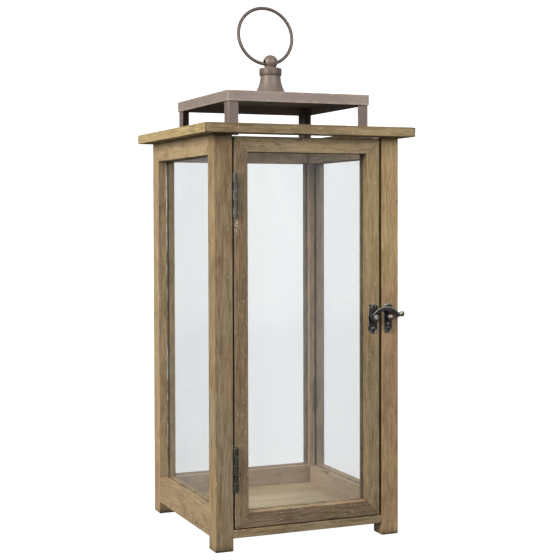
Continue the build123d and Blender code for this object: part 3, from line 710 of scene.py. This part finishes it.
def pressed_plate(node, boss_radius=0.0):
    """A latch plate: round-ended, with a raised rim pressed round a sunken, darkened middle."""
    low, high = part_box(node)
    back, front = high.y, high.y - plate_sheet
    centre, half_size = (low + high) / 2, (high - low) / 2
    shape = bmesh.new()
    worn = shape.verts.layers.float.new("worn")
    floor = front + recess_depth
    rows = (  # distance in from the edge, depth, and how brightly it is rubbed
        (0.0, back, 0.0), (0.0, front + 0.25 * mm, 0.7), (0.12 * mm, front + 0.06 * mm, 1.0),
        (0.3 * mm, front, 1.0), (rim_width - 0.15 * mm, front, 0.9), (rim_width, front + 0.08 * mm, 0.5),
        (rim_width + 0.25 * mm, floor, 0.0), (rim_width + 0.9 * mm, floor, 0.0),
    )
    loops = []
    for inset, y, rub in rows:
        loop = slot_loop(shape, half_size.x - inset, half_size.z - inset, centre, y)
        for vert in loop:
            vert[worn] = rub * (0.75 + 0.5 * noise.noise(vert.co / mm * 0.25))
        loops.append(loop)
    skin(shape, loops)
    shape.faces.new(loops[0])
    shape.faces.new(loops[-1])
    if boss_radius:
        hub = (  # radius, depth, and how brightly it is rubbed
            (boss_radius + 0.3 * mm, floor, 0.0), (boss_radius, front, 0.3),
            (boss_radius, low.y + 0.3 * mm, 0.5), (boss_radius - 0.3 * mm, low.y, 0.9),
            (0.4 * mm, low.y, 0.6),
        )
        pivot_low, pivot_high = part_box("latch_rivet")
        middle = (pivot_low + pivot_high) / 2
        rings = []
        for radius, y, rub in hub:
            def on_boss(angle):
                return middle.x + radius * cos(angle), y, middle.z + radius * sin(angle)
            rings.append(round_loop(shape, 36, on_boss, rub))
        skin(shape, rings)
        shape.faces.new(rings[0])
        shape.faces.new(rings[-1])
    bmesh.ops.recalc_face_normals(shape, faces=shape.faces)
    piece(f"{node}_pressed", shape, node, pewter, 50)


def cast_part(node, grain_size, material, raised, trim=0.0):
    """A small casting with soft edges, sizes in millimetres. raised says how bright a point is rubbed, and on
    some castings also where a highlight is painted.
    """
    shape = welded(node)
    rough = bpy.data.meshes.new(f"{node}_rough")
    shape.to_mesh(rough)
    shape.free()
    blank = bpy.data.objects.new(f"{node}_rough", rough)
    bpy.context.scene.collection.objects.link(blank)
    remesh = blank.modifiers.new("cast", "REMESH")
    remesh.mode = "VOXEL"
    remesh.voxel_size = grain_size * mm
    evaluated = blank.evaluated_get(bpy.context.evaluated_depsgraph_get())
    cast = bmesh.new()
    cast.from_mesh(evaluated.to_mesh())
    evaluated.to_mesh_clear()
    bpy.data.objects.remove(blank)
    for _ in range(4):
        bmesh.ops.smooth_vert(cast, verts=cast.verts, factor=0.5, use_axis_x=True, use_axis_y=True,
                              use_axis_z=True)
    cast.normal_update()
    worn = cast.verts.layers.float.new("worn")
    low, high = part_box(node)
    for vert in cast.verts:
        vert[worn] = raised(vert.co, vert.normal)
        vert.co = keep_inside(vert.co - vert.normal * trim * mm, low, high)
    piece(f"{node}_cast", cast, node, material, 60)


def step_between(value, low, high):
    """How far value has come from low to high, from 0 to 1."""
    return min(1.0, max(0.0, (value - low) / (high - low)))


pressed_plate("latch_door_plate", 3.4 * mm)
pressed_plate("latch_keeper_plate")

arm_low, arm_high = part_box("latch_arm")
arm_face = arm_low.y + 1.7 * mm  # the arm's flat front, behind its raised rim
ball_left = arm_high.x - 5.6 * mm


def arm_rub_and_highlight(place, normal):
    """The ball is rubbed a little and painted with a highlight on its top and left, where the light falls;
    the arm is rubbed bright along its raised rim.
    """
    if place.x > ball_left:
        # painted highlight: the ball is lighter where it faces up and to the left
        return 0.3 + 0.4 * step_between(normal.z - normal.x, 0.0, 1.2)
    return step_between(place.y, arm_face - 0.08 * mm, arm_face - 0.3 * mm) * 0.95


cast_part("latch_arm", 0.22, pewter, arm_rub_and_highlight)
# the rivet's crown is rubbed, and painted with a highlight where it faces the front
cast_part("latch_rivet", 0.2, bright_pewter, lambda place, normal: step_between(-normal.y, 0.5, 0.98), 0.35)
# painted highlight: the stud's head is rubbed a little and painted bright on its top and front, where the
# light falls
cast_part("latch_keeper_stud", 0.22, bright_pewter,
          lambda place, normal: 0.25 + 0.6 * step_between(normal.z - normal.y, 0.4, 1.3))


# ---------------------------------------------------------------- screws and ring, grown by rule

def islands(node):
    """The separate solids of a node, each as its list of points."""
    shape = bmesh.new()
    shape.from_mesh(nodes[node].data)
    bmesh.ops.remove_doubles(shape, verts=shape.verts, dist=weld_distance)
    left, found = set(shape.verts), []
    while left:
        batch, edge = [], [min(left, key=lambda v: v.index)]
        left.discard(edge[0])
        while edge:
            vert = edge.pop()
            batch.append(vert.co.copy())
            for link in vert.link_edges:
                other = link.other_vert(vert)
                if other in left:
                    left.discard(other)
                    edge.append(other)
        found.append(batch)
    shape.free()

    def middle(points):
        return tuple(round(sum(p[k] for p in points) / len(points), 5) for k in range(3))
    return sorted(found, key=middle)


def screw_facts(points):
    """Where a screw's head is, which way it faces, and its head radius, shank radius and length."""
    low = Vector([min(p[k] for p in points) for k in range(3)])
    high = Vector([max(p[k] for p in points) for k in range(3)])
    size = high - low
    axis = max(range(3), key=lambda k: size[k])
    others = [k for k in range(3) if k != axis]
    middle = (low + high) / 2

    def girth(end):
        near = [p for p in points if abs(p[axis] - end) < size[axis] * 0.3]
        return max((Vector([p[k] - middle[k] if k in others else 0 for k in range(3)])).length for p in near)

    girths = girth(low[axis]), girth(high[axis])
    head_high = girths[1] > girths[0]
    head = middle.copy()
    head[axis] = high[axis] if head_high else low[axis]
    facing = Vector([0, 0, 0])
    facing[axis] = 1 if head_high else -1
    return head, facing, max(girths), min(girths), size[axis]


def screw_blank(name, head_radius, shank_radius, length, dome):
    """A cross-headed screw with its head's top at the origin, pointing up, and a threaded shank."""
    shape = bmesh.new()
    shape.verts.layers.float.new("worn")
    around = 32
    arm, slot_half = head_radius * 0.56, head_radius * 0.15
    cross = []
    for quarter in range(4):
        turn = Matrix.Rotation(quarter * pi / 2, 3, "Z")
        for corner in ((arm, -slot_half), (arm, slot_half), (slot_half, slot_half)):
            cross.append(turn @ Vector((corner[0], corner[1], 0)))
    mouth = [shape.verts.new((p.x, p.y, -dome * (p.length / head_radius) ** 2)) for p in cross]
    pit = [shape.verts.new((p.x * 0.72, p.y * 0.72, -head_radius * 0.42)) for p in cross]
    skin(shape, (mouth, pit))
    shape.faces.new(pit)

    def turned(radius, z, rub=0.0):
        def on_lathe(angle):
            return radius * cos(angle), radius * sin(angle), z
        return round_loop(shape, around, on_lathe, rub, 0.5)

    crown = turned(head_radius * 0.82, -dome * 0.67, 0.6)
    edges = []
    for rim in (mouth, crown):
        for pair in zip(rim, rim[1:] + rim[:1]):
            edges.append(shape.edges.get(pair) or shape.edges.new(pair))
    bmesh.ops.triangle_fill(shape, edges=edges, use_beauty=True)
    loops = [crown, turned(head_radius, -dome - head_radius * 0.03, 0.55)]
    neck = -head_radius * 0.62
    if dome:
        neck = -dome - head_radius * 0.25
        loops.append(turned(head_radius, neck, 0.4))
    loops.append(turned(shank_radius, neck))
    pitch = max(shank_radius * 0.9, 0.5 * mm)
    z = neck - pitch * 0.5
    while z > -length + shank_radius * 2.2:
        loops.append(turned(shank_radius * 0.74, z))
        loops.append(turned(shank_radius, z - pitch * 0.35))
        z -= pitch
    loops.append(turned(shank_radius * 0.72, z))
    loops.append(turned(shank_radius * 0.06, -length))
    skin(shape, loops)
    shape.faces.new(loops[-1])
    bmesh.ops.recalc_face_normals(shape, faces=shape.faces)
    mesh = bpy.data.meshes.new(name)
    shape.to_mesh(mesh)
    shape.free()
    rounded_off(mesh, 40)
    made = bpy.data.objects.new(name, mesh)
    bpy.context.scene.collection.objects.link(made)
    return made


def rule_tree(name, **inputs):
    """An empty Geometry Nodes tree and its input node. Each input is named with its kind, such as Float."""
    tree = bpy.data.node_groups.new(name, "GeometryNodeTree")
    for label, kind in {"Geometry": "Geometry", **inputs, "Finish": "Material"}.items():
        tree.interface.new_socket(label.replace("_", " "), in_out="INPUT", socket_type="NodeSocket" + kind)
    tree.interface.new_socket("Geometry", in_out="OUTPUT", socket_type="NodeSocketGeometry")
    return tree, tree.nodes.new("NodeGroupInput")


def end_rule(tree, start, geometry):
    """Ends a tree: its copies are made real and given their finish."""
    real = put(tree, "GeometryNodeRealizeInstances", {"Geometry": geometry}).outputs[0]
    coated = put(tree, "GeometryNodeSetMaterial", {"Geometry": real, "Material": start.outputs["Finish"]})
    put(tree, "NodeGroupOutput", {"Geometry": coated.outputs[0]})
    return tree


def circle(tree, resolution, radius):
    return put(tree, "GeometryNodeCurvePrimitiveCircle", {"Resolution": resolution, "Radius": radius},
               mode="RADIUS").outputs[0]


def grown(name, start, tree, values):
    """Runs a tree on a mesh and keeps what it makes as a plain mesh."""
    holder = bpy.data.objects.new(name, start)
    bpy.context.scene.collection.objects.link(holder)
    rule = holder.modifiers.new("rule", "NODES")
    rule.node_group = tree
    sockets = {s.name: s.identifier for s in tree.interface.items_tree if s.in_out == "INPUT"}
    for label, value in values.items():
        rule[sockets[label]] = value
    bpy.context.view_layer.update()
    mesh = bpy.data.meshes.new_from_object(holder.evaluated_get(bpy.context.evaluated_depsgraph_get()))
    holder.modifiers.clear()
    bpy.data.objects.remove(holder)
    return mesh


def screw_rule():
    """One screw on every point, its head turned to face outwards and its cross left at any angle."""
    tree, start = rule_tree("screws_in_rows", Screw="Object", Seed="Int")
    screw = put(tree, "GeometryNodeObjectInfo", {"Object": start.outputs["Screw"], "As Instance": True},
                transform_space="ORIGINAL")
    facing = put(tree, "GeometryNodeInputNamedAttribute", {"Name": "facing"}, data_type="FLOAT_VECTOR")
    outwards = {"Vector": facing.outputs["Attribute"]}
    outward = put(tree, "FunctionNodeAlignRotationToVector", outwards, axis="Z")
    turn = put(tree, "FunctionNodeRandomValue", {"Seed": start.outputs["Seed"]}, data_type="FLOAT")
    turn.inputs[2].default_value, turn.inputs[3].default_value = 0.0, 1.5
    spin = put(tree, "FunctionNodeAxisAngleToRotation", {"Axis": (0, 0, 1), "Angle": turn.outputs[1]})
    both = put(tree, "FunctionNodeRotateRotation", {
        "Rotation": outward.outputs[0], "Rotate By": spin.outputs[0],
    }, rotation_space="LOCAL")
    set_out = put(tree, "GeometryNodeInstanceOnPoints", {
        "Points": start.outputs["Geometry"], "Instance": screw.outputs["Geometry"],
        "Rotation": both.outputs[0],
    })
    return end_rule(tree, start, set_out.outputs[0])


screws_in_rows = screw_rule()


def add_round_pin(mesh, points):
    """The small round-headed pin under the keeper's stud, joined to the keeper's screws."""
    head, facing, head_radius, tail_radius, length = screw_facts(points)
    shape = bmesh.new()
    shape.from_mesh(mesh)
    turn = facing.to_track_quat("Z", "Y")
    around, head_steps = 24, 8
    rows = []  # radius, height, and how brightly it is rubbed
    for step in range(1, head_steps + 1):
        angle = pi / 2 * step / head_steps
        rows.append((head_radius * sin(angle), -head_radius * (1 - cos(angle)), 1.0 - step * 0.05))
    rows += [(tail_radius, -head_radius, 0.0), (tail_radius * 0.9, -length, 0.0)]
    rings = []
    for radius, z, rub in rows:
        def on_pin(angle):
            return head + turn @ Vector((radius * cos(angle), radius * sin(angle), z))
        rings.append(round_loop(shape, around, on_pin, rub))
    tip = shape.verts.new(head)
    tip[shape.verts.layers.float["worn"]] = 1.0
    for here, ahead in zip(rings[0], rings[0][1:] + rings[0][:1]):
        shape.faces.new((tip, here, ahead))
    skin(shape, rings)
    shape.faces.new(rings[-1])
    bmesh.ops.recalc_face_normals(shape, faces=shape.faces)
    shape.to_mesh(mesh)
    shape.free()


def set_screws(node, material, seed, dome=0.0):
    """Sets a node's screws in their places. A smaller solid among them is a round-headed pin."""
    least_head = 1.5 * mm
    solids = islands(node)
    found = [screw_facts(points) for points in solids]
    pins = [points for points, facts in zip(solids, found) if facts[2] < least_head]
    found = [facts for facts in found if facts[2] >= least_head]
    blank = screw_blank(f"{node}_blank", *found[0][2:], dome)
    points = bpy.data.meshes.new(f"{node}_places")
    points.from_pydata([tuple(f[0]) for f in found], [], [])
    facing = points.attributes.new("facing", "FLOAT_VECTOR", "POINT")
    facing.data.foreach_set("vector", [value for f in found for value in f[1]])
    mesh = grown(f"{node}_grown", points, screws_in_rows, {"Screw": blank, "Seed": seed, "Finish": material})
    bpy.data.objects.remove(blank)
    for points in pins:
        add_round_pin(mesh, points)
    mesh_piece(f"{node}_set", mesh, body_of_node(node), material, 40, (node,))


set_screws("latch_door_screws", pewter, 3)
set_screws("latch_keeper_screws", pewter, 5)
set_screws("hinge_frame_screws", lower_steel, 7)
set_screws("hinge_door_screws", lower_steel, 11)
set_screws("cap_leg_screws", zinc, 13, 0.9 * mm)


def ring_rule():
    """Round wire bent to a circle, stood up and leaned back."""
    tree, start = rule_tree("ring_of_wire", Ring_radius="Float", Wire_radius="Float", Centre="Vector",
                            Lean="Float")
    path = circle(tree, 144, start.outputs["Ring radius"])
    wire = circle(tree, 20, start.outputs["Wire radius"])
    tube = put(tree, "GeometryNodeCurveToMesh", {"Curve": path, "Profile Curve": wire})
    upright = put(tree, "ShaderNodeCombineXYZ", {"X": start.outputs["Lean"]})
    stood = put(tree, "GeometryNodeTransform", {
        "Geometry": tube.outputs[0], "Translation": start.outputs["Centre"], "Rotation": upright.outputs[0],
    })
    return end_rule(tree, start, stood.outputs[0])


ring_taupe = paint_finish("taupe_ring_paint", colour(76, 64, 58), colour(128, 116, 107), 0.03, (0.32, 0.44))
ring_low, ring_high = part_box("ring_handle")
wire_radius = 1.6 * mm
ring_lean = radians(8.6)
ring_mesh = grown("ring_grown", bpy.data.meshes.new("ring_start"), ring_rule(), {
    "Ring radius": (ring_high.x - ring_low.x) / 2 - wire_radius, "Wire radius": wire_radius,
    "Centre": (ring_low + ring_high) / 2, "Lean": pi / 2 - ring_lean, "Finish": ring_taupe,
})
mesh_piece("ring_handle_bent", ring_mesh, "ring", ring_taupe, 60, ("ring_handle",))


def sealant_rule():
    """A bead run by hand from foot to head: it wanders a little."""
    tree, start = rule_tree("bead_of_sealant", Foot="Vector", Head="Vector", Bead_radius="Float",
                            Wander="Float")
    ends = {"Start": start.outputs["Foot"], "End": start.outputs["Head"]}
    line = put(tree, "GeometryNodeCurvePrimitiveLine", ends, mode="POINTS")
    fine = put(tree, "GeometryNodeResampleCurve", {"Curve": line.outputs[0], "Count": 300}, mode="COUNT")
    here = put(tree, "GeometryNodeInputPosition").outputs[0]
    wave = put(tree, "ShaderNodeTexNoise", {"Vector": here, "Scale": 260.0, "Detail": 2.0}).outputs["Color"]
    centred = put(tree, "ShaderNodeVectorMath", {0: wave, 1: (0.5, 0.5, 0.5)}, operation="SUBTRACT")
    wandering = {0: centred.outputs[0], "Scale": start.outputs["Wander"]}
    shift = put(tree, "ShaderNodeVectorMath", wandering, operation="SCALE")
    bent = put(tree, "GeometryNodeSetPosition", {"Geometry": fine.outputs[0], "Offset": shift.outputs[0]})
    section = circle(tree, 10, start.outputs["Bead radius"])
    tube = put(tree, "GeometryNodeCurveToMesh", {
        "Curve": bent.outputs[0], "Profile Curve": section, "Fill Caps": True,
    })
    return end_rule(tree, start, tube.outputs[0])


sealant = sealant_finish()
pane_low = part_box("glass_left")[0]
bead_radius = 0.4 * mm
bead_x = pane_low.x - bead_radius * 0.6
bead_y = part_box("post_back_left")[0].y - bead_radius * 0.8
bead_mesh = grown("bead_grown", bpy.data.meshes.new("bead_start"), sealant_rule(), {
    "Foot": (bead_x, bead_y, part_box("bottom_rail_left")[1].z),
    "Head": (bead_x, bead_y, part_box("top_rail_left")[0].z),
    "Bead radius": bead_radius, "Wander": 1.3 * mm, "Finish": sealant,
})
mesh_piece("pane_sealant_left", bead_mesh, "frame", sealant, 60)


# ---------------------------------------------------------------- studio

def studio():
    """A pale floor that brightens towards its far edge, three soft boxes and a white room."""
    ground = bpy.data.meshes.new("studio_floor")
    reach, far = 6.0, 2.7
    corners = [(-reach, -reach, 0), (reach, -reach, 0), (reach, far, 0), (-reach, far, 0)]
    ground.from_pydata(corners, [], [(0, 1, 2, 3)])
    floor = bpy.data.objects.new("studio_floor", ground)
    floor.location.z = -0.3 * mm
    bpy.context.scene.collection.objects.link(floor)
    material, tree, shader, _ = finish("pale_floor")
    here = place_on(tree)
    sweep = band(tree, cloud(tree, here, detail=1.0), 0.2, 0.8)
    tree.links.new(tint(tree, sweep, (0.1, 0.1, 0.1, 1), (0.11, 0.11, 0.11, 1)), shader.inputs["Base Color"])
    shader.inputs["Roughness"].default_value = 0.9
    shader.inputs["Emission Color"].default_value = (1, 1, 1, 1)
    away = put(tree, "ShaderNodeSeparateXYZ", {0: here}).outputs["Y"]
    tree.links.new(band(tree, away, 1.6, far, 1.02, 1.15), shader.inputs["Emission Strength"])
    ground.materials.append(material)
    floor.visible_diffuse = False
    floor.visible_glossy = False

    def soft_box(name, place, width, height, watts, tone):
        lamp = bpy.data.lights.new(name, "AREA")
        lamp.shape = "RECTANGLE"
        lamp.size, lamp.size_y = width, height
        lamp.energy, lamp.color = watts, tone
        light = bpy.data.objects.new(name, lamp)
        light.location = place
        light.rotation_euler = (middle - Vector(place)).to_track_quat("-Z", "Y").to_euler()
        bpy.context.scene.collection.objects.link(light)

    middle = Vector((0, 0, 0.22))
    soft_box("soft_box_left", (-2.2, -0.7, 1.2), 1.5, 1.5, 96, (1.0, 0.97, 0.91))
    soft_box("soft_box_front", (0.5, -2.2, 1.25), 1.3, 1.1, 46, (1.0, 0.985, 0.97))
    soft_box("soft_box_back", (1.2, 2.2, 1.6), 1.4, 1.4, 34, (0.97, 0.98, 1.0))

    world = bpy.data.worlds.new("white_room")
    bpy.context.scene.world = world
    world.use_nodes = True
    tree = world.node_tree
    tree.nodes.clear()
    skyward = put(tree, "ShaderNodeTexCoord").outputs["Generated"]
    up = put(tree, "ShaderNodeSeparateXYZ", {0: skyward}).outputs["Z"]
    strength = band(tree, up, -0.4, 0.3, 0.2, 0.6)
    room = put(tree, "ShaderNodeBackground", {"Color": (0.94, 0.97, 1.0, 1), "Strength": strength})
    paper = put(tree, "ShaderNodeBackground", {"Color": (1, 1, 1, 1), "Strength": 1.33})
    seen = put(tree, "ShaderNodeLightPath").outputs["Is Camera Ray"]
    mix = put(tree, "ShaderNodeMixShader", {0: seen, 1: room.outputs[0], 2: paper.outputs[0]})
    put(tree, "ShaderNodeOutputWorld", {"Surface": mix.outputs[0]})
    bpy.context.scene.view_settings.view_transform = "Standard"


def camera():
    """Stands at the front left, a little above the middle, and looks slightly down."""
    place = Vector((-0.4527, -1.102, 0.2873))
    turn, tip, roll = radians(22.74), radians(1.543), radians(-0.141)
    ahead = Vector((sin(turn) * cos(tip), cos(turn) * cos(tip), -sin(tip)))
    right = Vector((cos(turn), -sin(turn), 0))
    up = right.cross(ahead)
    right, up = right * cos(roll) + up * sin(roll), up * cos(roll) - right * sin(roll)
    lens = bpy.data.cameras.new("view")
    lens.sensor_width, lens.lens = 36, 82.03
    lens.shift_y = -30 / 560
    lens.clip_start, lens.clip_end = 0.05, 50
    made = bpy.data.objects.new("view", lens)
    made.matrix_world = Matrix.Translation(place) @ Matrix((right, up, -ahead)).transposed().to_4x4()
    bpy.context.scene.collection.objects.link(made)
    bpy.context.scene.camera = made


studio()
camera()
